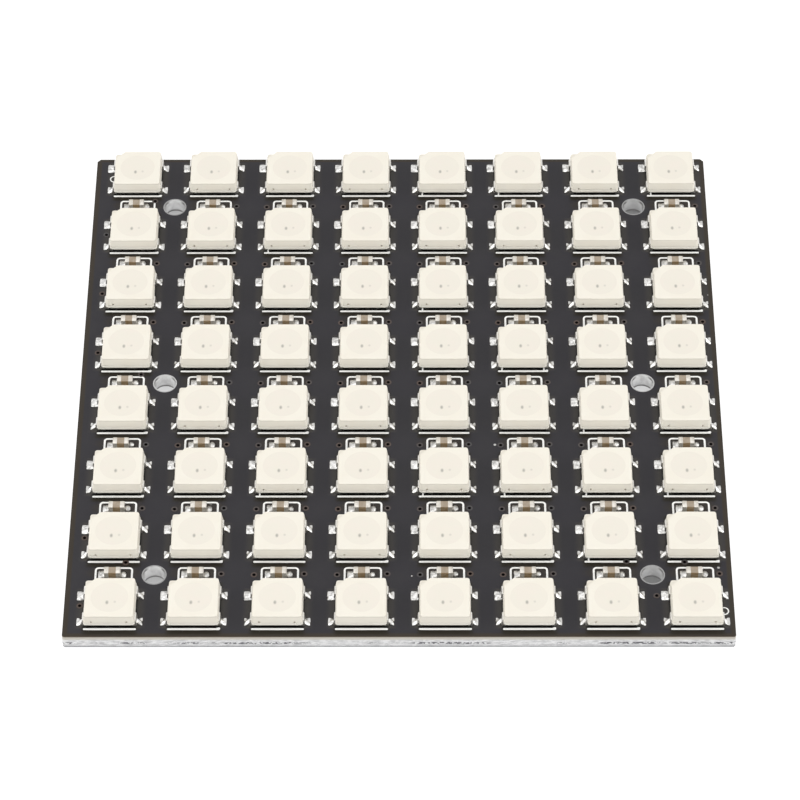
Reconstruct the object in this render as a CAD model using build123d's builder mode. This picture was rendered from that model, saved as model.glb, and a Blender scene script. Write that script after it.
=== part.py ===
# Panel of 64 RGB LEDs on one circuit board, in millimetres.
# The board lies on its back. The origin is under the middle of the board, on its back face.
# +Z points up through the LEDs and +Y towards the rear edge, where LED row 1 stands.

import os
from math import atan2, degrees

from build123d import *

os.makedirs("parts", exist_ok=True)

# Grid of LEDs
columns = 8
rows = 8
column_pitch = 8.11
row_pitch = 8.37

# Board, and its margins from the middles of the outer LEDs to its edges
board_thickness = 1.65
left_margin = 4.52
right_margin = 3.71
rear_margin = 2.96
front_margin = 3.45
rear_corner_break = 0.35
front_corner_break = 0.15

# Screw holes, each plated with a thin sleeve whose ends show as rings
screw_hole_diameter = 2.2
sleeve_wall = 0.12

# LED housing: a moulded block held up by its four leads, widest at its lip.
# The heights are above the board.
housing_bottom = 0.2
housing_lip = 0.55
housing_top = 1.75
lip_width = 5.0
undercut = 0.25
top_width = 4.76
corner_mark_leg = 1.0
corner_mark_depth = 0.4

# Cup in the top of the housing, filled flush with resin
window_diameter = 3.6
window_flat_count = 10
cup_depth = 0.75

# LED leads: two on each side, folded under the housing and wetted with solder out to the pad
lead_width = 1.0
lead_spacing = 3.26
solder_reach = 0.8

# Chip capacitors, one between each LED and the LED in front of it
capacitor_length = 1.6
capacitor_width = 0.84
capacitor_height = 0.84
terminal_length = 0.44
terminal_coat = 0.02

# Solder pads let into the back: a group for power and data in, a group for power and data out
connection_pad_length = 2.6
connection_pad_width = 1.6
connection_pad_thickness = 0.05
connection_pad_pitch = 2.54
connection_pad_margin = 3.2
connection_pads_in_group = 3

# Outline of the board
board_width = left_margin + (columns - 1) * column_pitch + right_margin
board_depth = front_margin + (rows - 1) * row_pitch + rear_margin

# Places of the columns, the rows and the gaps between them
column_x = [left_margin - board_width / 2 + column * column_pitch for column in range(columns)]
row_y = [board_depth / 2 - rear_margin - row * row_pitch for row in range(rows)]
column_gap_x = [(left + right) / 2 for left, right in zip(column_x, column_x[1:])]
row_gap_y = [(rear + front) / 2 for rear, front in zip(row_y, row_y[1:])]

# The screw holes stand where the outer column gaps cross the first, middle and last row gaps
screw_hole_x = [column_gap_x[0], column_gap_x[-1]]
screw_hole_y = [row_gap_y[0], row_gap_y[len(row_gap_y) // 2], row_gap_y[-1]]
screw_hole_places = [(x, y) for y in screw_hole_y for x in screw_hole_x]
sleeve_radius = screw_hole_diameter / 2 + sleeve_wall

# The two groups of connection pads stand along the left and the right edge
connection_pad_x = board_width / 2 - connection_pad_margin
connection_pad_places = [
    (side * connection_pad_x, (place - (connection_pads_in_group - 1) / 2) * connection_pad_pitch)
    for side in (-1, 1)
    for place in range(connection_pads_in_group)
]

# Heights of one LED above the back of the board
base_z = board_thickness + housing_bottom
lip_z = board_thickness + housing_lip
top_z = board_thickness + housing_top
draft_above_lip = degrees(atan2((lip_width - top_width) / 2, top_z - lip_z))
draft_below_lip = degrees(atan2(undercut, lip_z - base_z))

with BuildPart() as circuit_board:
    with BuildSketch(Plane.XY) as outline:
        Rectangle(board_width, board_depth)
        front_corners, rear_corners = outline.vertices().group_by(Axis.Y)
        chamfer(rear_corners, rear_corner_break)
        chamfer(front_corners, front_corner_break)
        with Locations(*screw_hole_places):
            Circle(sleeve_radius, mode=Mode.SUBTRACT)
    extrude(amount=board_thickness)
    # Seats of the connection pads in the back
    with BuildSketch(Plane.XY):
        with Locations(*connection_pad_places):
            Rectangle(connection_pad_length, connection_pad_width)
    extrude(amount=connection_pad_thickness, mode=Mode.SUBTRACT)
circuit_board.part.label = "circuit_board"
export_step(circuit_board.part, "parts/circuit_board.step")

with BuildPart() as connection_pads:
    with BuildSketch(Plane.XY):
        with Locations(*connection_pad_places):
            Rectangle(connection_pad_length, connection_pad_width)
    extrude(amount=connection_pad_thickness)
connection_pads.part.label = "connection_pads"
export_step(connection_pads.part, "parts/connection_pads.step")

# The plating of the screw holes runs from face to face of the board
with BuildPart() as screw_hole_sleeves:
    with BuildSketch(Plane.XY):
        with Locations(*screw_hole_places):
            Circle(sleeve_radius)
            Circle(screw_hole_diameter / 2, mode=Mode.SUBTRACT)
    extrude(amount=board_thickness)
screw_hole_sleeves.part.label = "screw_hole_sleeves"
export_step(screw_hole_sleeves.part, "parts/screw_hole_sleeves.step")

# One LED stands at the middle of the board, and every row is made from copies of it.
# The round resin window has flats and narrows to a point, so that sixty-four of them stay light.
with BuildPart() as window:
    with BuildSketch(Plane.XY.offset(top_z)) as window_face:
        RegularPolygon(window_diameter / 2, window_flat_count)
    loft(sections=[window_face.sketch.face(), Vertex(0, 0, top_z - cup_depth)])

with BuildPart() as housing:
    # Block above the lip, drafted in to the top
    with BuildSketch(Plane.XY.offset(lip_z)):
        Rectangle(lip_width, lip_width)
    extrude(amount=top_z - lip_z, taper=draft_above_lip)
    # Undercut below the lip
    with BuildSketch(Plane.XY.offset(lip_z)):
        Rectangle(lip_width, lip_width)
    extrude(amount=base_z - lip_z, taper=draft_below_lip)
    # Cut mark at the rear-left corner of the top
    with BuildSketch(Plane.XY.offset(top_z)):
        top_edge = top_width / 2
        beyond = lip_width - top_width
        Polygon(
            (-top_edge - beyond, top_edge - corner_mark_leg - beyond),
            (-top_edge + corner_mark_leg + beyond, top_edge + beyond),
            (-top_edge - beyond, top_edge + beyond),
            align=None,
        )
    extrude(amount=-corner_mark_depth, mode=Mode.SUBTRACT)
    # Cup for the resin
    add(window.part, mode=Mode.SUBTRACT)

# Each lead lies against the housing's undercut, and its solder slopes down to the end of its pad
with BuildPart() as leads:
    lip_x = lip_width / 2
    foot_x = lip_x - undercut * housing_lip / (housing_lip - housing_bottom)
    for lead_y in (lead_spacing / 2, -lead_spacing / 2):
        with BuildSketch(Plane.XZ.offset(-lead_y)):
            Polygon(
                (foot_x, board_thickness),
                (lip_x + solder_reach, board_thickness),
                (lip_x, lip_z),
                align=None,
            )
        extrude(amount=lead_width / 2, both=True)
    mirror(about=Plane.YZ)

for row, y in enumerate(row_y, start=1):
    led_places = [(x, y) for x in column_x]

    with BuildPart() as row_housings:
        with Locations(*led_places):
            add(housing.part)
    row_housings.part.label = f"led_housings_row_{row}"
    export_step(row_housings.part, f"parts/led_housings_row_{row}.step")

    with BuildPart() as row_windows:
        with Locations(*led_places):
            add(window.part)
    row_windows.part.label = f"led_windows_row_{row}"
    export_step(row_windows.part, f"parts/led_windows_row_{row}.step")

    with BuildPart() as row_leads:
        with Locations(*led_places):
            add(leads.part)
    row_leads.part.label = f"led_leads_row_{row}"
    export_step(row_leads.part, f"parts/led_leads_row_{row}.step")

# A capacitor's ceramic body stands between its two terminals, which are proud of it all round
body_length = capacitor_length - 2 * terminal_length
terminal_x = (capacitor_length - terminal_length) / 2

for gap, y in enumerate(row_gap_y, start=1):
    body_places = [(x, y) for x in column_x]
    terminal_places = [(x + side * terminal_x, y) for x in column_x for side in (-1, 1)]

    with BuildPart() as gap_bodies:
        with BuildSketch(Plane.XY.offset(board_thickness + terminal_coat)):
            with Locations(*body_places):
                Rectangle(body_length, capacitor_width - 2 * terminal_coat)
        extrude(amount=capacitor_height - 2 * terminal_coat)
    gap_bodies.part.label = f"capacitor_bodies_gap_{gap}"
    export_step(gap_bodies.part, f"parts/capacitor_bodies_gap_{gap}.step")

    with BuildPart() as gap_terminals:
        with BuildSketch(Plane.XY.offset(board_thickness)):
            with Locations(*terminal_places):
                Rectangle(terminal_length, capacitor_width)
        extrude(amount=capacitor_height)
    gap_terminals.part.label = f"capacitor_terminals_gap_{gap}"
    export_step(gap_terminals.part, f"parts/capacitor_terminals_gap_{gap}.step")
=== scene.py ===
# Looks of the panel of RGB LEDs: finer mouldings, leads, solder, print and finishes round the CAD frame.
# Sizes are in millimetres and become metres where a mesh is made. +X runs along an LED row,
# +Y towards the rear edge, +Z up through the LEDs, as in the frame.

import random
from math import cos, exp, pi, radians, sin

import bmesh
import bpy
from mathutils import Matrix, Vector


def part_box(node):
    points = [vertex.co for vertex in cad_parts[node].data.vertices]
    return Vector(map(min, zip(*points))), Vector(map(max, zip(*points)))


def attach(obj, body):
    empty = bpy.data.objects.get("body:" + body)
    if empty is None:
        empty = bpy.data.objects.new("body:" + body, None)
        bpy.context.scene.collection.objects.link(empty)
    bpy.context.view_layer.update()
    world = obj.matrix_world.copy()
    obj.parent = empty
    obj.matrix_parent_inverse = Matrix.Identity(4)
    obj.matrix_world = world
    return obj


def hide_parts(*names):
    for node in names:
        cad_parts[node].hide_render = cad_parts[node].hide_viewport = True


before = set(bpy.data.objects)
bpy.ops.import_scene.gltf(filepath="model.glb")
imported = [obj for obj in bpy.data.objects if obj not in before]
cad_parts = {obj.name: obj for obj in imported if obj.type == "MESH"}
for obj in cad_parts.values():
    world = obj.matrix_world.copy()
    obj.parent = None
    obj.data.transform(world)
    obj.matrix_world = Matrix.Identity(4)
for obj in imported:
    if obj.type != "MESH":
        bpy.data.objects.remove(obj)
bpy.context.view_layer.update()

METRE = 1000.0
random.seed(8)

# The grid, and its places read from the frame
ROWS = 8
COLUMNS = 8


def box_mm(node):
    """Lowest and highest corner of a CAD node, in millimetres."""
    low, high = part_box(node)
    return low * METRE, high * METRE


_, board_high = box_mm("circuit_board")
TOP = board_high.z
lip_low, lip_high = box_mm("led_housings_row_1")
LED_WIDTH = lip_high.y - lip_low.y
LED_HEIGHT = lip_high.z - TOP
LED_X = [
    lip_low.x + LED_WIDTH / 2 + column * (lip_high.x - lip_low.x - LED_WIDTH) / (COLUMNS - 1)
    for column in range(COLUMNS)
]
LED_Y = []
for row in range(1, ROWS + 1):
    row_low, row_high = box_mm(f"led_housings_row_{row}")
    LED_Y.append((row_low.y + row_high.y) / 2)
GAP_Y = [(rear + front) / 2 for rear, front in zip(LED_Y, LED_Y[1:])]
COLUMN_PITCH = LED_X[1] - LED_X[0]
ROW_PITCH = LED_Y[0] - LED_Y[1]
LED_MIDDLE = (LED_X[0], LED_Y[0], TOP)
GAP_MIDDLE = (LED_X[0], GAP_Y[0], 0.0)

# LED housing: half-widths at heights above the board, from the undercut base to the softened top edge
HOUSING_LEVELS = (
    (0.20, 2.250),
    (0.53, 2.465),
    (0.56, 2.500),
    (0.835, 2.500),
    (0.855, 2.455),
    (0.875, 2.492),
    (1.727, 2.386),
    (LED_HEIGHT, 2.366),
)
HOUSING_CORNER = 0.22
CUP_RADIUS = 1.82
CUP_DEPTH = 0.10
CORNER_MARK_LEG = 0.97
CORNER_MARK_DEPTH = 0.47
PINHOLE_RADIUS = 0.12
PINHOLE_DEPTH = 0.2
PINHOLES = ((-1.70, 0.97), (1.72, 0.97))
# Columns whose LEDs have the two pinholes of the mould's pins, for each row
PINHOLE_COLUMNS = (
    (2, 3, 4, 7), (2, 3, 4, 5, 6), (1, 4, 5, 7), (), (2, 4, 8), (3, 5, 6, 7, 8), (1, 4, 6), (1, 3, 7, 8)
)

# Chips that show faintly through the resin: place on the LED, half-sizes and strength
CHIPS = (((-0.21, -0.63), (0.17, 0.27), 0.55), ((0.55, -0.55), (0.15, 0.17), 0.2))

# LED leads and their solder
LEAD_Y = 1.63
LEAD_WIDTH = 1.0
LEAD_THICKNESS = 0.12
LEAD_EXIT_HEIGHT = 0.78
LEAD_INSET = 0.2
LEAD_BEND = 0.015
LEAD_LEAN = radians(85)
LEAD_FOOT = 0.35
PAD_END = 3.20
PAD_SHIFT = -0.04
SOLDER_WIDTH = 1.0
SOLDER_OVERLAP = 0.05
SOLDER_NUDGE = 0.03
# The pad at the LED's cut mark is the largest
FIRST_PAD_END = 3.32
FIRST_PAD_WIDTH = 1.15
FIRST_PAD_SHIFT = -0.1

# Shapes of solder: height at the low end, rise to the lead, hollow of the slope, height of the ridge, waist
BLOCK_SHAPES = (
    (0.15, 0.05, 2.5, 0.03, 0.90),
    (0.17, 0.03, 1.5, 0.05, 0.85),
    (0.14, 0.08, 3.0, 0.02, 0.95),
)
FILLET_SHAPES = (
    (0.06, 0.34, 1.6, 0.12, 0.34),
    (0.05, 0.40, 2.2, 0.08, 0.42),
    (0.08, 0.28, 1.3, 0.15, 0.28),
    (0.05, 0.44, 2.6, 0.14, 0.50),
)

# Chip capacitors. Solder flows from their left ends, with length and width first, and beads at their right
CAPACITOR_SHIFT_Y = -0.05
CAPACITOR_EDGE = 0.03
CAPACITOR_NUDGE = 0.05
CAPACITOR_OVERLAP = 0.05
END_EXTRA = 0.02
BODY_INTO_END = 0.05
FLOW_SHAPES = (
    (0.65, 0.98, 0.10, 0.22, 1.3, 0.01, 0.9),
    (0.61, 0.94, 0.12, 0.18, 1.7, 0.02, 0.9),
)
DROP_SIZES = ((0.35, 0.38, 0.34), (0.31, 0.33, 0.30), (0.33, 0.42, 0.27))

# Print on the mask
INK_THICKNESS = 0.015
LED_LINE_WIDTH = 0.245
LED_LINE_LENGTH = 5.12
LED_LINE_Y = -2.555
LED_LINE_SHIFT = 0.03
# A share of the lines has a bent right end
LINE_END_SHARE = 0.6
LINE_END_LENGTH = 0.5
LINE_END_INSET = 0.22
LINE_END_RISE = 0.05
LINE_END_TURN = radians(22)
TICK_LENGTH = 0.6
TICK_WIDTH = 0.16
TICK_X = 2.14
TICK_Y = 0.24
# Columns whose lines have a short tick on the left, for each row, and the one LED with a tick on the right
TICK_COLUMNS = ((5, 6, 8), (3,), (5,), (5, 6), (7,), (3, 5, 6, 7, 8), (7,), ())
RIGHT_TICK = (4, 6)
OUTLINE_WIDTH = 0.19
OUTLINE_LENGTH = 3.74
OUTLINE_DEPTH = 1.89
OUTLINE_CORNER = 0.38
OUTLINE_SHIFT = 0.11
RING_RADIUS = 0.48
RING_WIDTH = 0.12
RING_PLACES = ((1, 1, -2.58, 0.0), (8, 8, 2.70, -0.36))

# Vias: drilled and plated dots under the mask, left and right of the middle of each gap
VIA_RING_RADIUS = 0.33
VIA_HOLE_RADIUS = 0.165
VIA_RING_THICKNESS = INK_THICKNESS + 0.003
VIA_HOLE_THICKNESS = INK_THICKNESS + 0.006
VIA_LEFT = (-2.41, 0.0)
VIA_RIGHT = (2.49, 0.11)
SCREW_GAPS = (1, 4, 7)
LONE_VIAS = (
    (2, 1, -3.0, 0.10),
    (3, 1, -3.0, -0.04),
    (4, 1, -3.0, 0.02),
    (7, 1, -3.0, 0.49),
    (8, 1, -3.0, 0.32),
    (1, 1, 1.93, -3.3),
    (4, 1, 1.57, -2.98),
    (7, 1, 1.21, -2.64),
    (7, 7, 1.57, -2.55),
    (7, 8, -0.85, -2.62),
    (8, 8, -3.75, 1.55),
)

# Strip round the board that has no copper under its mask, a little narrower at the front and rear
BORDER_WIDTH = 0.5
BORDER_FADE = 0.12
END_BORDER_CUT = 0.12

# Heights on the cut edge and on the housings, where their colours change
CHIPPED_HEIGHT = 0.62
GROOVE_HEIGHT = 0.855
RIM_SHADE_HEIGHT = 1.64

# Floor: its half-width in metres, the gap under the panel, and the half-width of its shade in metres
FLOOR_HALF = 1.5
FLOOR_DROP = 0.03
FLOOR_SHADE_HALF = 0.031

# Camera, fitted to the photograph
CAMERA_LENS = 175.64
CAMERA_PLACE = (1.6254, -265.1087, 297.9756)
CAMERA_FORWARD = (-0.0040, 0.66388, -0.74783)
CAMERA_UP = (0.00071, 0.74784, 0.66388)


# Meshes


def mesh_from(shape, name):
    """Turns a bmesh into a mesh with outward faces, and frees it."""
    bmesh.ops.recalc_face_normals(shape, faces=shape.faces)
    mesh = bpy.data.meshes.new(name)
    shape.to_mesh(mesh)
    shape.free()
    return mesh


def linked(name, data):
    """A new object in the scene."""
    made = bpy.data.objects.new(name, data)
    bpy.context.scene.collection.objects.link(made)
    return made


def piece_from(templates, spots, name, finish, replaced=None, smooth_angle=35):
    """Makes a piece from copies of templates in millimetres, and lets it ride with the panel.

    A spot is a matrix and the index of the template that stands there.
    """
    whole = bmesh.new()
    for matrix, index in spots:
        copy = templates[index].copy()
        copy.transform(matrix)
        if matrix.determinant() < 0:
            copy.flip_normals()
        whole.from_mesh(copy)
        bpy.data.meshes.remove(copy)
    mesh = bpy.data.meshes.new(name)
    whole.to_mesh(mesh)
    whole.free()
    mesh.transform(Matrix.Scale(1 / METRE, 4))
    mesh.materials.append(finishes[finish])
    for polygon in mesh.polygons:
        polygon.use_smooth = True
    mesh.set_sharp_from_angle(angle=radians(smooth_angle))
    piece = linked(name, mesh)
    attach(piece, "root")
    if replaced:
        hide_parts(replaced)


def cut_away(mesh, cutters, name):
    """The mesh with the cutters' shapes cut out of it."""
    body = linked(name, mesh)
    tools = [linked(name + "_cutter", cutter) for cutter in cutters]
    for tool in tools:
        cut = body.modifiers.new("cut", "BOOLEAN")
        cut.operation = "DIFFERENCE"
        cut.solver = "EXACT"
        cut.object = tool
    graph = bpy.context.evaluated_depsgraph_get()
    result = bpy.data.meshes.new_from_object(body.evaluated_get(graph))
    for spare in [body, *tools]:
        bpy.data.objects.remove(spare)
    return result


def only(kind, items):
    """Those of a bmesh operator's results that are of one kind."""
    return [item for item in items if isinstance(item, kind)]


def grow(shape, face, shift, factor=1.0):
    """Extrudes a face by a shift, scales its far end about the Z axis and returns the new end face."""
    made = bmesh.ops.extrude_face_region(shape, geom=[face])["geom"]
    verts = only(bmesh.types.BMVert, made)
    bmesh.ops.translate(shape, verts=verts, vec=shift)
    bmesh.ops.scale(shape, verts=verts, vec=(factor, factor, 1.0))
    return only(bmesh.types.BMFace, made)[0]


def soften(shape, geom, width, segments, affect):
    """Rounds off edges or corners."""
    bmesh.ops.bevel(
        shape, geom=geom, offset=width, offset_type="OFFSET", segments=segments, profile=0.5,
        affect=affect, material=-1,
    )


def rounded_sheet(shape, half_x, half_y, corner, segments):
    """A flat face with rounded corners, in the XY plane."""
    made = bmesh.ops.create_grid(shape, x_segments=1, y_segments=1, size=1.0)
    bmesh.ops.scale(shape, verts=made["verts"], vec=(half_x, half_y, 1.0))
    soften(shape, made["verts"], corner, segments, "VERTICES")
    shape.faces.ensure_lookup_table()
    return shape.faces[0]


def rod_mesh(radius, length, segments, matrix, name):
    """A round rod along its own Z axis, moved by a matrix."""
    shape = bmesh.new()
    bmesh.ops.create_cone(
        shape, cap_ends=True, segments=segments, radius1=radius, radius2=radius, depth=length, matrix=matrix
    )
    return mesh_from(shape, name)


def block_mesh(size, edge, name, segments=1):
    """A block with softened edges, standing on z = 0."""
    shape = bmesh.new()
    bmesh.ops.create_cube(shape, size=1.0)
    bmesh.ops.scale(shape, verts=shape.verts, vec=size)
    bmesh.ops.translate(shape, verts=shape.verts, vec=(0, 0, size[2] / 2))
    soften(shape, shape.edges[:], edge, segments, "EDGES")
    return mesh_from(shape, name)


def disc_mesh(radius, thickness, segments, name, stretch=0.0):
    """A thin disc standing on z = 0, its two halves drawn apart along X by a stretch to each side."""
    shape = bmesh.new()
    made = bmesh.ops.create_circle(shape, cap_ends=True, segments=segments, radius=radius)
    for side in (-1, 1):
        half = [vert for vert in made["verts"] if vert.co.x * side > 0]
        bmesh.ops.translate(shape, verts=half, vec=(side * stretch, 0, 0))
    shape.faces.ensure_lookup_table()
    grow(shape, shape.faces[0], (0, 0, thickness))
    return mesh_from(shape, name)


# Finishes


def new_group(name, inputs, outputs):
    """A shader node group, with its inputs to read and its outputs to feed.

    An input is a name, a kind and a default, and an output is a name and a kind.
    """
    tree = bpy.data.node_groups.new(name, "ShaderNodeTree")
    kinds = {"value": "NodeSocketFloat", "colour": "NodeSocketColor", "vector": "NodeSocketVector"}
    for label, kind, default in inputs:
        socket = tree.interface.new_socket(label, in_out="INPUT", socket_type=kinds[kind])
        socket.default_value = default
    for label, kind in outputs:
        tree.interface.new_socket(label, in_out="OUTPUT", socket_type=kinds[kind])
    return tree, tree.nodes.new("NodeGroupInput").outputs, tree.nodes.new("NodeGroupOutput").inputs


def node(tree, kind, inputs=None, **settings):
    """Adds a node, sets its own settings, and feeds each input from a value or another node's output."""
    made = tree.nodes.new("ShaderNode" + kind)
    for label, value in settings.items():
        setattr(made, label, value)
    for label, value in (inputs or {}).items():
        if isinstance(value, bpy.types.NodeSocket):
            tree.links.new(value, made.inputs[label])
        else:
            made.inputs[label].default_value = value
    return made


def maths(tree, operation, first, second=0.0, third=0.0):
    """One Math node. Its inputs are values or other nodes' outputs."""
    return node(tree, "Math", {0: first, 1: second, 2: third}, operation=operation).outputs[0]


def times(tree, first, second):
    """One value times another."""
    return maths(tree, "MULTIPLY", first, second)


def distance(tree, value, middle=0.0):
    """How far a value is from a middle, to either side."""
    if middle:
        value = maths(tree, "SUBTRACT", value, middle)
    return maths(tree, "ABSOLUTE", value)


def mixed(tree, factor, first, second):
    """The colour between two colours."""
    return node(tree, "Mix", {"Factor": factor, 6: first, 7: second}, data_type="RGBA").outputs[2]


def faded(tree, value, low, high, start=0.0, end=1.0):
    """A smooth change from start to end as the value goes from low to high."""
    return node(
        tree,
        "MapRange",
        {"Value": value, "From Min": low, "From Max": high, "To Min": start, "To Max": end},
        interpolation_type="SMOOTHSTEP",
    ).outputs["Result"]


def away_from(tree, place, middle, half_sizes=(1.0, 1.0)):
    """Distance of a place from a point of the same plane, in half-sizes."""
    x, y = half_sizes
    flat = node(tree, "VectorMath", {0: place, 1: (1 / x, 1 / y, 0)}, operation="MULTIPLY").outputs[0]
    point = (middle[0] / x, middle[1] / y, 0)
    return node(tree, "VectorMath", {0: flat, 1: point}, operation="DISTANCE").outputs["Value"]


def axes(tree, vector):
    """The X, Y and Z of a vector, by their letters."""
    return node(tree, "SeparateXYZ", {0: vector}).outputs


def place_in_frame(tree):
    """The place in the shared frame, in metres."""
    return node(tree, "TexCoord").outputs["Object"]


def facing(tree):
    """The X, Y and Z of the direction that the surface faces."""
    return axes(tree, node(tree, "NewGeometry").outputs["Normal"])


def noise(tree, place, per_metre, detail, roughness=0.5):
    """Soft clouds of noise."""
    inputs = {"Vector": place, "Scale": per_metre, "Detail": detail, "Roughness": roughness}
    return node(tree, "TexNoise", inputs).outputs["Fac"]


def mottle_group():
    """Patches of a slightly different colour."""
    tree, ins, outs = new_group(
        "mottle",
        (
            ("Colour", "colour", (0.8, 0.8, 0.8, 1)),
            ("Patch Colour", "colour", (0.7, 0.7, 0.7, 1)),
            ("Patches Per Metre", "value", 400.0),
            ("Amount", "value", 0.5),
        ),
        (("Colour", "colour"), ("Mask", "value")),
    )
    mask = faded(tree, noise(tree, place_in_frame(tree), ins["Patches Per Metre"], 4.0, 0.6), 0.38, 0.66)
    share = times(tree, mask, ins["Amount"])
    tree.links.new(mixed(tree, share, ins["Colour"], ins["Patch Colour"]), outs["Colour"])
    tree.links.new(mask, outs["Mask"])
    return tree


def grain_group():
    """A fine uneven surface."""
    tree, ins, outs = new_group(
        "grain",
        (("Grains Per Metre", "value", 5000.0), ("Height", "value", 0.00001), ("Strength", "value", 0.3)),
        (("Normal", "vector"), ("Value", "value")),
    )
    grains = noise(tree, place_in_frame(tree), ins["Grains Per Metre"], 3.0, 0.65)
    bump = node(tree, "Bump", {"Height": grains, "Distance": ins["Height"], "Strength": ins["Strength"]})
    tree.links.new(bump.outputs["Normal"], outs["Normal"])
    tree.links.new(grains, outs["Value"])
    return tree


def dust_group():
    """Pale specks that have settled on the faces that look up."""
    tree, ins, outs = new_group(
        "dust",
        (
            ("Colour", "colour", (0.5, 0.5, 0.5, 1)),
            ("Dust Colour", "colour", (0.62, 0.6, 0.56, 1)),
            ("Specks Per Metre", "value", 500.0),
            ("Speck Size", "value", 0.08),
            ("Share", "value", 0.3),
        ),
        (("Colour", "colour"), ("Mask", "value")),
    )
    inputs = {"Vector": place_in_frame(tree), "Scale": ins["Specks Per Metre"], "Randomness": 1.0}
    cells = node(tree, "TexVoronoi", inputs).outputs
    near = maths(tree, "LESS_THAN", cells["Distance"], ins["Speck Size"])
    chosen = node(tree, "TexWhiteNoise", {"Vector": cells["Position"]}).outputs["Value"]
    kept = maths(tree, "LESS_THAN", chosen, ins["Share"])
    mask = times(tree, times(tree, near, kept), faded(tree, facing(tree)["Z"], 0.5, 0.9))
    tree.links.new(mixed(tree, mask, ins["Colour"], ins["Dust Colour"]), outs["Colour"])
    tree.links.new(mask, outs["Mask"])
    return tree


def cell_place_group():
    """The place in a repeated cell of the grid, in millimetres from the cell's middle."""
    tree, ins, outs = new_group("place_in_cell", (("Middle", "vector", (0, 0, 0)),), (("Place", "vector"),))
    inputs = {0: place_in_frame(tree), "Scale": METRE}
    scaled = node(tree, "VectorMath", inputs, operation="SCALE").outputs[0]
    moved = node(tree, "VectorMath", {0: scaled, 1: ins["Middle"]}, operation="SUBTRACT").outputs[0]
    half = (COLUMN_PITCH / 2, ROW_PITCH / 2, 10.0)
    inputs = {0: moved, 1: half, 2: tuple(-side for side in half)}
    tree.links.new(node(tree, "VectorMath", inputs, operation="WRAP").outputs[0], outs["Place"])
    return tree


groups = {
    "mottle": mottle_group(),
    "grain": grain_group(),
    "dust": dust_group(),
    "place_in_cell": cell_place_group(),
}


def new_finish(name, **constants):
    """A material with a Principled shader, whose constants are set on its own sockets."""
    material = bpy.data.materials.new(name)
    material.use_nodes = True
    tree = material.node_tree
    shader = tree.nodes["Principled BSDF"]
    for label, value in constants.items():
        shader.inputs[label.replace("_", " ")].default_value = value
    return material, tree, shader


def use_group(tree, name, **inputs):
    """Places a shared node group, with its inputs set from values or outputs, and returns its outputs."""
    made = tree.nodes.new("ShaderNodeGroup")
    made.node_tree = groups[name]
    for label, value in inputs.items():
        socket = made.inputs[label.replace("_", " ")]
        if isinstance(value, bpy.types.NodeSocket):
            tree.links.new(value, socket)
        else:
            socket.default_value = value
    return made.outputs


def mottled(tree, colour, patch_colour, per_metre, amount):
    """A colour with patches of another, and the patches' mask."""
    return use_group(
        tree, "mottle", Colour=colour, Patch_Colour=patch_colour, Patches_Per_Metre=per_metre, Amount=amount
    )


def place_in_cell(tree, middle):
    """The place in the grid's cell round a middle, in millimetres."""
    return use_group(tree, "place_in_cell", Middle=middle)["Place"]


def feed(tree, shader, colour, grain, rough=None):
    """Feeds a shader its colour, its surface and, where it changes, its roughness.

    A grain is how many there are to a metre, their height in metres and their strength.
    """
    per_metre, height, strength = grain
    surface = use_group(tree, "grain", Grains_Per_Metre=per_metre, Height=height, Strength=strength)
    tree.links.new(colour, shader.inputs["Base Color"])
    tree.links.new(surface["Normal"], shader.inputs["Normal"])
    if rough is not None:
        tree.links.new(rough, shader.inputs["Roughness"])


def front_colour(tree, mask, in_gap):
    """The front's mask: warm by the capacitors, brown past the printed lines, paler next to the housings by
    painted bounce light, and darkened round their feet by painted shade.
    """
    by_capacitor = away_from(tree, in_gap, (0.1, 0.2), (2.6, 1.0))
    front = mixed(tree, faded(tree, by_capacitor, 0.7, 1.2, 0.8, 0.0), mask, (0.030, 0.024, 0.019, 1))
    on_led = place_in_cell(tree, LED_MIDDLE)
    off_led = axes(tree, node(tree, "VectorMath", {0: on_led}, operation="ABSOLUTE").outputs[0])
    x, y = off_led["X"], off_led["Y"]
    before = times(tree, faded(tree, y, 3.0, 3.4, 0.9, 0.0), faded(tree, x, 2.4, 2.9, 1.0, 0.0))
    front = mixed(tree, before, front, (0.0105, 0.0075, 0.002, 1))
    # Painted bounce light: next to the housings' sides the mask is paler
    painted_bounce_light = times(tree, faded(tree, x, 2.7, 3.6, 1.0, 0.0), faded(tree, y, 2.3, 2.6, 1.0, 0.0))
    front = mixed(tree, painted_bounce_light, front, (0.042, 0.038, 0.034, 1))
    # Painted shade: under a housing and right next to it the mask is darkened
    farthest = maths(tree, "MAXIMUM", x, y)
    painted_shade_round_housing = faded(tree, farthest, LED_WIDTH / 2 - 0.03, LED_WIDTH / 2 + 0.2, 1.0, 0.0)
    return mixed(tree, painted_shade_round_housing, front, (0.003, 0.0027, 0.002, 1))


def back_colour(tree, mask, in_gap):
    """The back's mask, where the vias come through."""
    nearest = maths(
        tree, "MINIMUM", away_from(tree, in_gap, VIA_LEFT), away_from(tree, in_gap, VIA_RIGHT)
    )
    ring = maths(tree, "LESS_THAN", nearest, VIA_RING_RADIUS)
    # The via holes are painted black: painted shade for the drilled holes
    hole = maths(tree, "LESS_THAN", nearest, VIA_HOLE_RADIUS)
    ringed = mixed(tree, ring, mask, (0.09, 0.07, 0.06, 1))
    return mixed(tree, hole, ringed, (0.002, 0.002, 0.002, 1))


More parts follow.
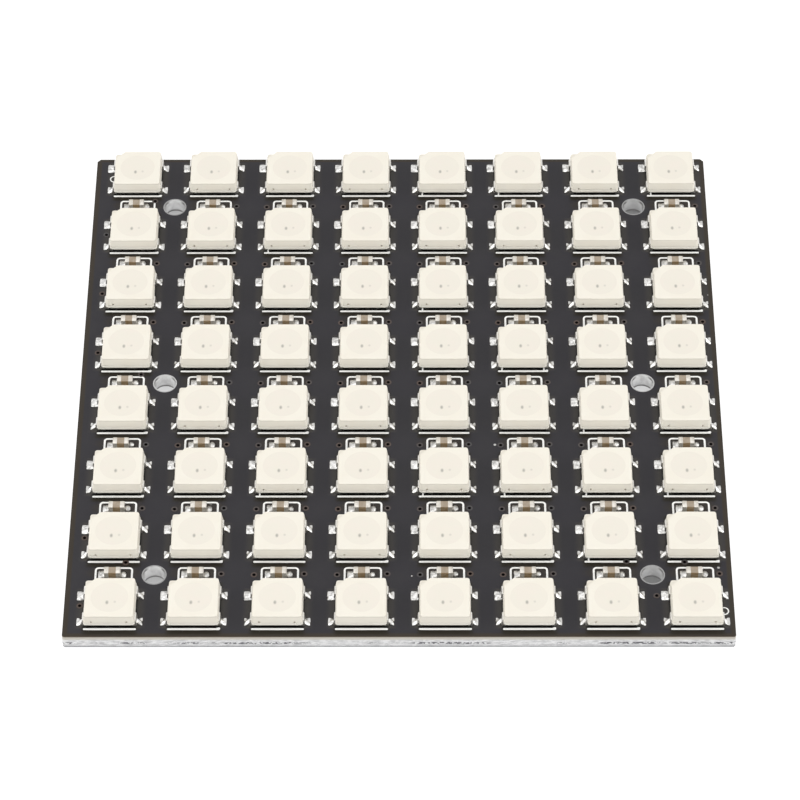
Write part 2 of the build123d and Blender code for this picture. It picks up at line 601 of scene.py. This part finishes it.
def cut_edge_colour(tree, place, height):
    """The cut edge: glass cloth in layers, chipped where the board was broken out of its sheet."""
    stretched = node(tree, "Mapping", {"Vector": place, "Scale": (0.45, 0.45, 1.6)}).outputs["Vector"]
    fibres = faded(tree, noise(tree, stretched, 2600.0, 5.0, 0.7), 0.35, 0.65)
    clusters = noise(tree, place, 230.0, 1.0)
    chips = times(
        tree, faded(tree, noise(tree, place, 4200.0, 2.0, 0.6), 0.44, 0.56), faded(tree, clusters, 0.34, 0.5)
    )
    band = faded(tree, distance(tree, height, CHIPPED_HEIGHT), 0.06, 0.24, 0.95, 0.0)
    cloth = mixed(tree, fibres, (0.64, 0.64, 0.645, 1), (0.97, 0.97, 0.97, 1))
    chipped = mixed(tree, times(tree, chips, band), cloth, (0.07, 0.07, 0.085, 1))
    # The upper layers are tanned, the lower ones shaded, and the mask's own edge is brown
    warm = mixed(tree, clusters, (0.66, 0.64, 0.565, 1), (0.60, 0.545, 0.485, 1))
    tanned = mixed(tree, faded(tree, height, 0.95, 1.35), chipped, warm)
    lower_shade = times(tree, faded(tree, height, 0.3, 0.5, 0.35, 0.0), clusters)
    shaded = mixed(tree, lower_shade, tanned, (0.2, 0.2, 0.22, 1))
    lined = mixed(tree, faded(tree, height, 0.10, 0.22, 0.7, 0.0), shaded, (0.24, 0.24, 0.26, 1))
    return mixed(tree, faded(tree, height, TOP - 0.20, TOP - 0.06), lined, (0.10, 0.075, 0.05, 1))


def board_finish():
    """Black solder mask on the faces, and the cut laminate round the edge."""
    material, tree, shader = new_finish("solder_mask_and_laminate", Specular_IOR_Level=0.3)
    mask = mottled(tree, (0.0178, 0.0160, 0.0205, 1), (0.0232, 0.0215, 0.0250, 1), 260.0, 0.8)
    dusted = use_group(
        tree, "dust", Colour=mask["Colour"], Dust_Colour=(0.55, 0.55, 0.53, 1), Specks_Per_Metre=420.0,
        Speck_Size=0.055, Share=0.22,
    )

    # Bare laminate shows brown through the mask where the copper stops short of the board's edge
    place = place_in_frame(tree)
    x, y, z = axes(tree, place)
    side = maths(tree, "MULTIPLY_ADD", distance(tree, x), -METRE, board_high.x)
    end = maths(tree, "MULTIPLY_ADD", distance(tree, y), -METRE, board_high.y + END_BORDER_CUT)
    from_edge = maths(tree, "MINIMUM", side, end)
    border = faded(tree, from_edge, BORDER_WIDTH - BORDER_FADE, BORDER_WIDTH + BORDER_FADE, 1.0, 0.0)
    bordered = mixed(tree, border, dusted["Colour"], (0.028, 0.0205, 0.0125, 1))

    in_gap = place_in_cell(tree, GAP_MIDDLE)
    front = front_colour(tree, bordered, in_gap)
    back = back_colour(tree, bordered, in_gap)
    upward = facing(tree)["Z"]
    faces = mixed(tree, maths(tree, "LESS_THAN", upward, -0.5), front, back)
    edge = cut_edge_colour(tree, place, times(tree, z, METRE))
    flat = maths(tree, "GREATER_THAN", distance(tree, upward), 0.5)
    edge_roughness = 0.8
    satin = faded(tree, mask["Mask"], 0.0, 1.0, 0.42, 0.5)
    smoother = maths(tree, "SUBTRACT", satin, edge_roughness)
    rough = maths(tree, "MULTIPLY_ADD", flat, smoother, edge_roughness)
    feed(tree, shader, mixed(tree, flat, edge, faces), (3800.0, 0.000012, 0.35), rough)
    return material


def housing_finish():
    """Ivory moulded plastic, with painted light that makes its lip paler, and painted shade that darkens the
    parting groove and a band below its top edge.
    """
    material, tree, shader = new_finish("ivory_moulding", Roughness=0.48, Specular_IOR_Level=0.4)
    ivory = mottled(tree, (0.84, 0.80, 0.705, 1), (0.82, 0.77, 0.67, 1), 330.0, 0.6)
    height = axes(tree, place_in_cell(tree, LED_MIDDLE))["Z"]
    # Painted light: the lip is painted paler than the rest of the moulding
    lip = faded(tree, height, 0.80, 0.90, 1.0, 0.0)
    # Painted shade: a darker band a little below the housing's top edge
    painted_rim_shade = faded(tree, distance(tree, height, RIM_SHADE_HEIGHT), 0.0, 0.07, 0.45, 0.0)
    # Painted shade: the parting groove is darkened
    groove = faded(tree, distance(tree, height, GROOVE_HEIGHT), 0.0, 0.06, 0.5, 0.0)
    lipped = mixed(tree, lip, ivory["Colour"], (0.93, 0.90, 0.81, 1))
    rimmed = mixed(tree, painted_rim_shade, lipped, (0.5, 0.47, 0.4, 1))
    feed(tree, shader, mixed(tree, groove, rimmed, (0.45, 0.42, 0.36, 1)), (9000.0, 0.000006, 0.25))
    return material


def resin_finish():
    """Milky resin, with the chips in the cup showing faintly through it."""
    material, tree, shader = new_finish("milky_resin", Roughness=0.3, Specular_IOR_Level=0.4)
    colour = mottled(tree, (0.80, 0.758, 0.667, 1), (0.815, 0.752, 0.67, 1), 620.0, 0.55)["Colour"]
    place = place_in_cell(tree, LED_MIDDLE)
    for middle, half_sizes, strength in CHIPS:
        shade = faded(tree, away_from(tree, place, middle, half_sizes), 0.2, 1.3, strength, 0.0)
        colour = mixed(tree, shade, colour, (0.10, 0.095, 0.085, 1))
    feed(tree, shader, colour, (1500.0, 0.00001, 0.15))
    return material


def metal_finish(name, colour, dull, roughness, per_metre, height, strength, metallic=1.0):
    """Tin or solder: bright where it flowed, duller in patches, with an uneven skin."""
    material, tree, shader = new_finish(name, Metallic=metallic)
    patches = mottled(tree, colour, dull, per_metre, 0.8)
    rough = faded(tree, patches["Mask"], 0.0, 1.0, roughness, roughness + 0.18)
    feed(tree, shader, patches["Colour"], (per_metre * 2, height, strength), rough)
    return material


def sleeve_finish():
    """Tinned plating of the screw holes: bright rings, and walls with painted shade to their sides and foot.
    """
    material, tree, shader = new_finish("tinned_sleeve", Metallic=0.2, Roughness=0.35)
    skin = mottled(tree, (0.92, 0.92, 0.92, 1), (0.66, 0.66, 0.66, 1), 1100.0, 0.8)
    x, y, height = axes(tree, place_in_frame(tree))
    # Painted light and shade: the middle pair's plating is painted the brightest, and that of the right
    # corner holes the darkest
    painted_shade_from_middle = faded(tree, distance(tree, y), 0.01, 0.02)
    painted_dimming = times(tree, painted_shade_from_middle, faded(tree, x, -0.01, 0.01, 0.12, 0.5))
    skin_with_painted_light = mixed(tree, painted_dimming, skin["Colour"], (0.35, 0.35, 0.35, 1))
    # Painted shade: the walls darken at the hole's sides, most in a line under the ring, and at the foot
    normal = facing(tree)
    sideways = distance(tree, normal["X"])
    side = faded(tree, sideways, 0.80, 0.97, 0.0, 0.5)
    upper = faded(tree, height, 0.0003, 0.0009, 0.3, 1.0)
    by_ring = faded(tree, height, (TOP - 0.38) / METRE, (TOP - 0.2) / METRE, 0.0, 0.85)
    line = times(tree, by_ring, faded(tree, sideways, 0.45, 0.8))
    foot = faded(tree, height, 0.0001, 0.0003, 0.8, 0.0)
    side_shade = maths(tree, "MAXIMUM", times(tree, side, upper), line)
    wall = mixed(tree, maths(tree, "MAXIMUM", side_shade, foot), skin_with_painted_light, (0.10, 0.095, 0.09, 1))
    ring = faded(tree, distance(tree, normal["Z"]), 0.4, 0.8)
    # Painted light: the rings of the middle pair are painted paler than the others
    ring_colour = mixed(tree, painted_shade_from_middle, (0.52, 0.52, 0.52, 1), (0.33, 0.33, 0.33, 1))
    feed(tree, shader, mixed(tree, ring, wall, ring_colour), (1800.0, 0.00002, 0.4))
    return material


def ceramic_finish():
    """Brown fired ceramic, its top face made paler by a painted sheen."""
    material, tree, shader = new_finish("brown_ceramic", Roughness=0.38)
    side = mottled(tree, (0.28, 0.19, 0.095, 1), (0.35, 0.26, 0.16, 1), 2500.0, 0.8)
    top = mottled(tree, (0.33, 0.262, 0.192, 1), (0.40, 0.335, 0.26, 1), 1800.0, 0.8)
    # Painted sheen: faces that look up are painted paler
    painted_top_sheen = faded(tree, facing(tree)["Z"], 0.8, 0.98)
    feed(tree, shader, mixed(tree, painted_top_sheen, side["Colour"], top["Colour"]), (12000.0, 0.000008, 0.3))
    return material


def ink_finish():
    """White screen-printed ink, a little greyer in patches."""
    material, tree, shader = new_finish("white_ink", Roughness=0.55, Specular_IOR_Level=0.3)
    ink = mottled(tree, (1.0, 1.0, 0.98, 1), (0.93, 0.935, 0.915, 1), 1400.0, 0.7)
    feed(tree, shader, ink["Colour"], (8000.0, 0.000006, 0.4))
    return material


def via_finish(name, colour, dull, shine, per_metre):
    """Plated copper seen through the mask, or the painted shade of a drilled hole."""
    material, tree, shader = new_finish(name, Roughness=0.6, Specular_IOR_Level=shine)
    patches = mottled(tree, colour, dull, per_metre, 0.9)
    tree.links.new(patches["Colour"], shader.inputs["Base Color"])
    return material


finishes = {
    "board": board_finish(),
    "housing": housing_finish(),
    "resin": resin_finish(),
    "lead": metal_finish(
        "tinned_lead", (0.78, 0.76, 0.72, 1), (0.64, 0.62, 0.58, 1), 0.34, 2200.0, 0.00001, 0.35
    ),
    "solder": metal_finish(
        "solder", (0.82, 0.81, 0.79, 1), (0.46, 0.455, 0.44, 1), 0.22, 2600.0, 0.00003, 0.6
    ),
    "grainy_solder": metal_finish(
        "grainy_solder", (0.82, 0.81, 0.79, 1), (0.36, 0.355, 0.345, 1), 0.27, 2800.0, 0.00005, 1.0
    ),
    "dull_solder": metal_finish(
        "dull_solder", (0.72, 0.71, 0.69, 1), (0.34, 0.335, 0.325, 1), 0.28, 2800.0, 0.00004, 0.9
    ),
    "terminal": metal_finish(
        "tinned_terminal", (0.74, 0.71, 0.655, 1), (0.57, 0.54, 0.49, 1), 0.4, 2600.0, 0.00001, 0.35, 0.75
    ),
    "pad": metal_finish("tinned_pad", (0.52, 0.52, 0.52, 1), (0.4, 0.4, 0.4, 1), 0.36, 900.0, 0.00001, 0.3),
    "sleeve": sleeve_finish(),
    "ceramic": ceramic_finish(),
    "ink": ink_finish(),
    "via_ring": via_finish(
        "plated_ring_under_mask", (0.085, 0.062, 0.053, 1), (0.068, 0.067, 0.070, 1), 0.3, 150.0
    ),
    "via_hole": via_finish("painted_hole_shade", (0.002, 0.0015, 0.0015, 1), (0.004, 0.003, 0.003, 1), 0.0, 2500.0),
}


# LEDs


def housing_template(pinholes):
    """The LED's moulded block, with its undercut, lip, parting groove, cup and corner mark."""
    shape = bmesh.new()
    bottom_z, bottom_half = HOUSING_LEVELS[0]
    face = rounded_sheet(shape, bottom_half, bottom_half, HOUSING_CORNER, 3)
    bmesh.ops.translate(shape, verts=shape.verts, vec=(0, 0, bottom_z))
    for (z, half), (next_z, next_half) in zip(HOUSING_LEVELS, HOUSING_LEVELS[1:]):
        face = grow(shape, face, (0, 0, next_z - z), next_half / half)
    block = mesh_from(shape, "housing_block")

    cutters = [
        rod_mesh(CUP_RADIUS, 2 * CUP_DEPTH, 40, Matrix.Translation((0, 0, LED_HEIGHT)), "cup_cutter"),
    ]
    corner = bmesh.new()
    width, length, turn = 2.0, 4.0, radians(45)
    bmesh.ops.create_cube(corner, size=1.0)
    bmesh.ops.scale(corner, verts=corner.verts, vec=(width, length, 2 * CORNER_MARK_DEPTH))
    bmesh.ops.rotate(corner, verts=corner.verts, matrix=Matrix.Rotation(-turn, 3, "Z"))
    reach = (2 * HOUSING_LEVELS[-2][1] - CORNER_MARK_LEG) / 2 + width * sin(turn) / 2
    bmesh.ops.translate(corner, verts=corner.verts, vec=(-reach, reach, LED_HEIGHT))
    cutters.append(mesh_from(corner, "corner_cutter"))
    if pinholes:
        for x, z in PINHOLES:
            turned = Matrix.Translation((x, -LED_WIDTH / 2, z)) @ Matrix.Rotation(radians(90), 4, "X")
            cutters.append(rod_mesh(PINHOLE_RADIUS, 2 * PINHOLE_DEPTH + 0.1, 10, turned, "pinhole_cutter"))
    return cut_away(block, cutters, "housing")


def resin_template():
    """The resin in the cup: a disc with a low meniscus."""
    shape = bmesh.new()
    made = bmesh.ops.create_circle(shape, cap_ends=True, segments=40, radius=CUP_RADIUS)
    bmesh.ops.translate(shape, verts=made["verts"], vec=(0, 0, LED_HEIGHT - CUP_DEPTH))
    shape.faces.ensure_lookup_table()
    face = grow(shape, shape.faces[0], (0, 0, CUP_DEPTH - 0.002))
    for thickness, sink in ((0.15, -0.004), (0.3, -0.006), (0.5, -0.004)):
        bmesh.ops.inset_region(shape, faces=[face], thickness=thickness, depth=sink, use_even_offset=True)
        discs = [item for item in shape.faces if len(item.verts) > 4]
        face = max(discs, key=lambda item: item.calc_center_median().z)
    return mesh_from(shape, "resin")


def lead_template():
    """A lead on the right side: out of the housing, down to the pad and folded under."""
    shape = bmesh.new()
    made = bmesh.ops.create_grid(shape, x_segments=1, y_segments=1, size=0.5)
    bmesh.ops.scale(shape, verts=made["verts"], vec=(LEAD_THICKNESS, LEAD_WIDTH, 1.0))
    bmesh.ops.rotate(shape, verts=made["verts"], matrix=Matrix.Rotation(radians(90), 3, "Y"))
    inside = LED_WIDTH / 2 - LEAD_INSET
    bmesh.ops.translate(shape, verts=made["verts"], vec=(inside, 0, LEAD_EXIT_HEIGHT))
    shape.faces.ensure_lookup_table()
    face = grow(shape, shape.faces[0], (LEAD_INSET, 0, 0))

    def bend(face, centre, angle):
        """Turns the end of the lead about a line along Y."""
        made = bmesh.ops.spin(
            shape, geom=[face], cent=centre, axis=(0, 1, 0), angle=angle, steps=3, use_duplicate=False
        )
        return only(bmesh.types.BMFace, made["geom_last"])[0]

    turn = LEAD_THICKNESS / 2 + LEAD_BEND
    face = bend(face, Vector((LED_WIDTH / 2, 0, LEAD_EXIT_HEIGHT - turn)), LEAD_LEAN)
    down = Vector((cos(LEAD_LEAN), 0, -sin(LEAD_LEAN)))
    drop = (face.calc_center_median().z - LEAD_THICKNESS / 2 - turn) / sin(LEAD_LEAN)
    face = grow(shape, face, down * drop)
    inward = Vector((-sin(LEAD_LEAN), 0, -cos(LEAD_LEAN)))
    face = bend(face, face.calc_center_median() + inward * turn, pi - LEAD_LEAN)
    grow(shape, face, (-LEAD_FOOT, 0, 0))
    return mesh_from(shape, "lead")


def solder_template(length, width, low, rise, hollow, ridge, waist):
    """Solder on a pad, from the lead at x = 0 to the pad's end.

    It stands low at the end and rises to the lead with a hollow slope. A ridge crosses it from the lead's
    rear to the pad's front corner, and its sides draw in to a waist at the lead.
    """
    shape = bmesh.new()
    made = bmesh.ops.create_grid(shape, x_segments=6, y_segments=6, size=0.5)
    bmesh.ops.translate(shape, verts=made["verts"], vec=(0.5, 0, 0))
    raised = bmesh.ops.extrude_face_region(shape, geom=shape.faces[:])["geom"]
    upper = set(only(bmesh.types.BMVert, raised))
    for vert in shape.verts:
        along = min(max(vert.co.x, 0.0), 1.0)
        across = 2 * vert.co.y
        vert.co.x = length * along * (1 - 0.05 * abs(across) ** 3)
        vert.co.y = width / 2 * across * (waist + (1 - waist) * along ** 0.7) * (1 - 0.06 * along ** 8)
        if vert in upper:
            slope = (1 - along) ** hollow
            off_ridge = across - 0.5 + 1.3 * along
            crest = ridge * exp(-((off_ridge / 0.35) ** 2))
            edge = 1 - 0.6 * max(abs(across), along) ** 6
            vert.co.z = (low + rise * slope + crest) * edge
    return mesh_from(shape, "solder")


def drop_template(half_x, half_y, height):
    """A drop of solder, as the upper part of a ball that stands on its pad."""
    shape = bmesh.new()
    bmesh.ops.create_icosphere(shape, subdivisions=2, radius=1.0)
    sunk = 0.35
    cut = bmesh.ops.bisect_plane(
        shape,
        geom=shape.verts[:] + shape.edges[:] + shape.faces[:],
        plane_co=(0, 0, -sunk),
        plane_no=(0, 0, -1),
        clear_outer=True,
    )
    bmesh.ops.holes_fill(shape, edges=only(bmesh.types.BMEdge, cut["geom_cut"]), sides=0)
    bmesh.ops.translate(shape, verts=shape.verts, vec=(0.9, 0, sunk))
    bmesh.ops.scale(shape, verts=shape.verts, vec=(half_x, half_y, height / (1 + sunk)))
    return mesh_from(shape, "drop")


def build_leds():
    """The LEDs of every row: housings, resin, leads and their solder."""
    housings = [housing_template(False), housing_template(True)]
    resin = resin_template()
    lead = lead_template()
    solder_x = LED_WIDTH / 2 + LEAD_THICKNESS - SOLDER_OVERLAP
    blocks = [solder_template(FIRST_PAD_END - solder_x, FIRST_PAD_WIDTH, *shape) for shape in BLOCK_SHAPES]
    fillets = [solder_template(PAD_END - solder_x, SOLDER_WIDTH, *shape) for shape in FILLET_SHAPES]
    for row, y in enumerate(LED_Y, start=1):
        places = [Matrix.Translation((x, y, TOP)) for x in LED_X]
        choices = [int(column in PINHOLE_COLUMNS[row - 1]) for column in range(1, COLUMNS + 1)]
        lead_spots, block_spots, fillet_spots = [], [], []
        for place in places:
            for side in (-1, 1):
                for lead_y in (-LEAD_Y, LEAD_Y):
                    turned = place @ Matrix.Translation((0, lead_y, 0)) @ Matrix.Scale(side, 4, (1, 0, 0))
                    lead_spots.append((turned, 0))
                    nudge = random.uniform(-SOLDER_NUDGE, SOLDER_NUDGE)
                    if side < 0 and lead_y > 0:
                        shift, templates, spots = FIRST_PAD_SHIFT, blocks, block_spots
                    else:
                        shift, templates, spots = PAD_SHIFT, fillets, fillet_spots
                    spot = turned @ Matrix.Translation((solder_x, shift + nudge, 0))
                    spots.append((spot, random.randrange(len(templates))))
        piece_from(
            housings, zip(places, choices), f"moulded_housings_row_{row}", "housing",
            f"led_housings_row_{row}", smooth_angle=31,
        )
        piece_from(
            [resin], [(place, 0) for place in places], f"resin_windows_row_{row}", "resin",
            f"led_windows_row_{row}",
        )
        piece_from(
            [lead], lead_spots, f"folded_leads_row_{row}", "lead", f"led_leads_row_{row}"
        )
        piece_from(
            fillets, fillet_spots, f"lead_solder_row_{row}", "solder", smooth_angle=60
        )
        piece_from(
            blocks, block_spots, f"first_pad_solder_row_{row}", "grainy_solder",
            smooth_angle=60,
        )


# Capacitors


def build_capacitors():
    """The chip capacitors of every gap, with their solder."""
    body_low, body_high = box_mm("capacitor_bodies_gap_1")
    end_low, end_high = box_mm("capacitor_terminals_gap_1")
    height = end_high.z - TOP
    width = end_high.y - end_low.y
    total = end_high.x - end_low.x - (COLUMNS - 1) * COLUMN_PITCH
    body_length = body_high.x - body_low.x - (COLUMNS - 1) * COLUMN_PITCH
    coat = end_high.z - body_high.z
    end_length = (total - body_length) / 2 + END_EXTRA
    body_size = (body_length + 2 * BODY_INTO_END, width - 2 * coat, height - 2 * coat)
    body = block_mesh(body_size, CAPACITOR_EDGE, "capacitor_body")
    end = block_mesh((end_length, width, height), 2 * CAPACITOR_EDGE, "capacitor_end", segments=2)
    flows = [solder_template(*shape) for shape in FLOW_SHAPES]
    drops = [drop_template(*size) for size in DROP_SIZES]
    for gap, y in enumerate(GAP_Y, start=1):
        body_spots, end_spots, flow_spots, drop_spots = [], [], [], []
        for x in LED_X:
            centre = Matrix.Translation((x, y + CAPACITOR_SHIFT_Y, TOP))
            body_spots.append((centre @ Matrix.Translation((0, 0, coat)), 0))
            for side, templates, spots in ((1, drops, drop_spots), (-1, flows, flow_spots)):
                offset = side * (total - end_length) / 2
                end_spots.append((centre @ Matrix.Translation((offset, 0, 0)), 0))
                nudge = random.uniform(-CAPACITOR_NUDGE, CAPACITOR_NUDGE)
                outward = Matrix.Translation((side * (total / 2 - CAPACITOR_OVERLAP), nudge, 0))
                spot = centre @ outward @ Matrix.Scale(side, 4, (1, 0, 0))
                spots.append((spot, random.randrange(len(templates))))
        piece_from(
            [body], body_spots, f"ceramic_bodies_gap_{gap}", "ceramic",
            f"capacitor_bodies_gap_{gap}",
        )
        piece_from(
            [end], end_spots, f"tinned_ends_gap_{gap}", "terminal",
            f"capacitor_terminals_gap_{gap}",
        )
        piece_from(
            flows, flow_spots, f"left_capacitor_solder_gap_{gap}", "dull_solder",
            smooth_angle=60,
        )
        piece_from(
            drops, drop_spots, f"right_capacitor_solder_gap_{gap}", "dull_solder",
            smooth_angle=60,
        )


# Print


def printed_line(length, width, thickness, name):
    """A printed line along X with round ends."""
    return disc_mesh(width / 2, thickness, 14, name, stretch=(length - width) / 2)


def printed_frame(half_x, half_y, corner, segments, width, name):
    """A printed closed outline with rounded corners."""
    shape = bmesh.new()
    face = rounded_sheet(shape, half_x, half_y, corner, segments)
    bmesh.ops.inset_region(shape, faces=[face], thickness=width, use_even_offset=True, use_boundary=True)
    inner = max(shape.faces, key=lambda item: len(item.verts))
    bmesh.ops.delete(shape, geom=[inner], context="FACES")
    raised = bmesh.ops.extrude_face_region(shape, geom=shape.faces[:])["geom"]
    bmesh.ops.translate(shape, verts=only(bmesh.types.BMVert, raised), vec=(0, 0, INK_THICKNESS))
    return mesh_from(shape, name)


def build_print():
    """Lines in front of the LEDs, outlines round the capacitors and two small rings."""
    marks = [
        printed_line(LED_LINE_LENGTH, LED_LINE_WIDTH, INK_THICKNESS, "led_line"),
        printed_line(TICK_LENGTH, TICK_WIDTH, 0.7 * INK_THICKNESS, "tick"),
        printed_line(LINE_END_LENGTH, LED_LINE_WIDTH, 0.85 * INK_THICKNESS, "line_end"),
    ]
    upright = Matrix.Rotation(radians(90), 4, "Z")
    end_place = Matrix.Translation((LED_LINE_LENGTH / 2 - LINE_END_INSET, LINE_END_RISE, 0))
    end = end_place @ Matrix.Rotation(LINE_END_TURN, 4, "Z")
    spots = []
    for row, y in enumerate(LED_Y, start=1):
        for column, x in enumerate(LED_X, start=1):
            line = Matrix.Translation((x + LED_LINE_SHIFT, y + LED_LINE_Y, TOP))
            spots.append((line, 0))
            if column in TICK_COLUMNS[row - 1]:
                spots.append((line @ Matrix.Translation((-TICK_X, TICK_Y, 0)) @ upright, 1))
            if (row, column) == RIGHT_TICK:
                spots.append((line @ Matrix.Translation((TICK_X, TICK_Y, 0)) @ upright, 1))
            if random.random() < LINE_END_SHARE:
                spots.append((line @ end, 2))
    piece_from(marks, spots, "printed_led_lines", "ink")
    outline = printed_frame(
        OUTLINE_LENGTH / 2, OUTLINE_DEPTH / 2, OUTLINE_CORNER, 5, OUTLINE_WIDTH, "outline"
    )
    spots = [(Matrix.Translation((x + OUTLINE_SHIFT, y, TOP)), 0) for y in GAP_Y for x in LED_X]
    piece_from([outline], spots, "printed_capacitor_outlines", "ink")
    ring = printed_frame(RING_RADIUS, RING_RADIUS, RING_RADIUS * 0.99, 6, RING_WIDTH, "ring")
    spots = [
        (Matrix.Translation((LED_X[column - 1] + dx, LED_Y[row - 1] + dy, TOP)), 0)
        for row, column, dx, dy in RING_PLACES
    ]
    piece_from([ring], spots, "printed_rings", "ink")


def build_vias():
    """Vias left and right of each capacitor, clear of the screw holes, and a few by themselves."""
    places = []
    for gap, y in enumerate(GAP_Y, start=1):
        for column, x in enumerate(LED_X, start=1):
            if column not in (1, COLUMNS) and not (gap in SCREW_GAPS and column in (2, COLUMNS - 1)):
                places.append((x + VIA_LEFT[0], y + VIA_LEFT[1]))
            if not (gap in SCREW_GAPS and column in (1, COLUMNS - 1)):
                places.append((x + VIA_RIGHT[0], y + VIA_RIGHT[1]))
    for row, column, dx, dy in LONE_VIAS:
        places.append((LED_X[column - 1] + dx, LED_Y[row - 1] + dy))
    spots = [(Matrix.Translation((x, y, TOP)), 0) for x, y in places]
    ring = disc_mesh(VIA_RING_RADIUS, VIA_RING_THICKNESS, 18, "via_ring")
    # The holes are black discs: painted shade for the drilled holes
    hole = disc_mesh(VIA_HOLE_RADIUS, VIA_HOLE_THICKNESS, 14, "via_hole")
    piece_from([ring], spots, "via_rings", "via_ring")
    piece_from([hole], spots, "via_holes", "via_hole")


def finish_frame_nodes():
    """Finishes of the CAD nodes that stay as they are."""
    kept = (("circuit_board", "board"), ("connection_pads", "pad"), ("screw_hole_sleeves", "sleeve"))
    for name, finish in kept:
        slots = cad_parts[name].data.materials
        slots.clear()
        slots.append(finishes[finish])


# Stage


def background_ray(tree):
    """1 for the rays that should see a white background: camera, glossy and transmission rays."""
    rays = node(tree, "LightPath").outputs
    first = maths(tree, "MAXIMUM", rays["Is Camera Ray"], rays["Is Glossy Ray"])
    return maths(tree, "MAXIMUM", first, rays["Is Transmission Ray"])


def build_stage():
    """A white floor under the panel and an even white world."""
    world = bpy.data.worlds.new("studio")
    world.use_nodes = True
    bpy.context.scene.world = world
    tree = world.node_tree
    tree.nodes.clear()
    upward = axes(tree, node(tree, "TexCoord").outputs["Generated"])["Z"]
    inputs = {"Value": upward, "From Min": 0.15, "From Max": 0.85, "To Min": 1.25, "To Max": 0.35}
    strength = node(tree, "MapRange", inputs).outputs["Result"]
    soft = node(tree, "Background", {"Color": (1.0, 1.0, 1.0, 1), "Strength": strength})
    white = node(tree, "Background", {"Color": (1.0, 1.0, 1.0, 1), "Strength": 1.0})
    chosen = node(tree, "MixShader", {0: background_ray(tree), 1: soft.outputs[0], 2: white.outputs[0]})
    tree.links.new(chosen.outputs[0], node(tree, "OutputWorld").inputs["Surface"])

    material = bpy.data.materials.new("white_floor")
    material.use_nodes = True
    tree = material.node_tree
    tree.nodes.clear()
    paint = node(tree, "BsdfDiffuse", {"Color": (0.3, 0.3, 0.3, 1)})
    # Under the board the floor has painted shade, seen only by camera rays, which shows through the screw
    # holes, least at the middle pair and most at the right
    x, y, _ = axes(tree, place_in_frame(tree))
    under_x = maths(tree, "LESS_THAN", distance(tree, x), FLOOR_SHADE_HALF)
    under_y = maths(tree, "LESS_THAN", distance(tree, y), FLOOR_SHADE_HALF)
    painted_shade_from_middle = faded(tree, distance(tree, y), 0.01, 0.02)
    darker = faded(tree, x, -0.01, 0.01, -0.2, -0.42)
    shade = maths(tree, "MULTIPLY_ADD", painted_shade_from_middle, darker, -0.35)
    seen = times(tree, shade, node(tree, "LightPath").outputs["Is Camera Ray"])
    glow_strength = maths(tree, "MULTIPLY_ADD", times(tree, under_x, under_y), seen, 0.85)
    glow = node(tree, "Emission", {"Strength": times(tree, background_ray(tree), glow_strength)})
    both = node(tree, "AddShader", {0: paint.outputs[0], 1: glow.outputs[0]})
    # From below the floor is clear, so that the panel's back can be seen
    below = node(tree, "NewGeometry").outputs["Backfacing"]
    clear = node(tree, "BsdfTransparent")
    one_sided = node(tree, "MixShader", {0: below, 1: both.outputs[0], 2: clear.outputs[0]})
    tree.links.new(one_sided.outputs[0], node(tree, "OutputMaterial").inputs["Surface"])

    shape = bmesh.new()
    bmesh.ops.create_grid(shape, x_segments=1, y_segments=1, size=FLOOR_HALF)
    bmesh.ops.translate(shape, verts=shape.verts, vec=(0, 0, -FLOOR_DROP / METRE))
    mesh = bpy.data.meshes.new("floor")
    shape.to_mesh(mesh)
    shape.free()
    mesh.materials.append(material)
    linked("floor", mesh)


def build_lights():
    """Softboxes over the panel, in front of it and at both sides: place in metres, size and power."""
    for name, place, size, power in (
        ("top_softbox", (-0.15, 0.12, 0.7), 0.6, 0.8),
        ("front_softbox", (0.1, -0.64, 0.55), 0.5, 1.72),
        ("left_softbox", (-0.65, -0.05, 0.30), 0.7, 2.0),
        ("right_softbox", (0.65, -0.05, 0.30), 0.7, 2.0),
    ):
        lamp = bpy.data.lights.new(name, "AREA")
        lamp.size = size
        lamp.energy = power
        holder = linked(name, lamp)
        holder.location = place
        holder.rotation_mode = "QUATERNION"
        holder.rotation_quaternion = (-Vector(place)).to_track_quat("-Z", "Y")


def build_camera():
    """The photograph's viewpoint, fitted to the LEDs' tops and the board's edges."""
    data = bpy.data.cameras.new("camera")
    data.sensor_width = 36.0
    data.lens = CAMERA_LENS
    data.clip_start = 0.01
    data.clip_end = 10.0
    forward = Vector(CAMERA_FORWARD).normalized()
    right = forward.cross(Vector(CAMERA_UP)).normalized()
    turned = Matrix((right, right.cross(forward), -forward)).transposed().to_4x4()
    camera = linked("camera", data)
    camera.matrix_world = Matrix.Translation(Vector(CAMERA_PLACE) / METRE) @ turned
    bpy.context.scene.camera = camera


finish_frame_nodes()
build_leds()
build_capacitors()
build_print()
build_vias()
build_stage()
build_lights()
build_camera()
bpy.context.scene.view_settings.view_transform = "Standard"
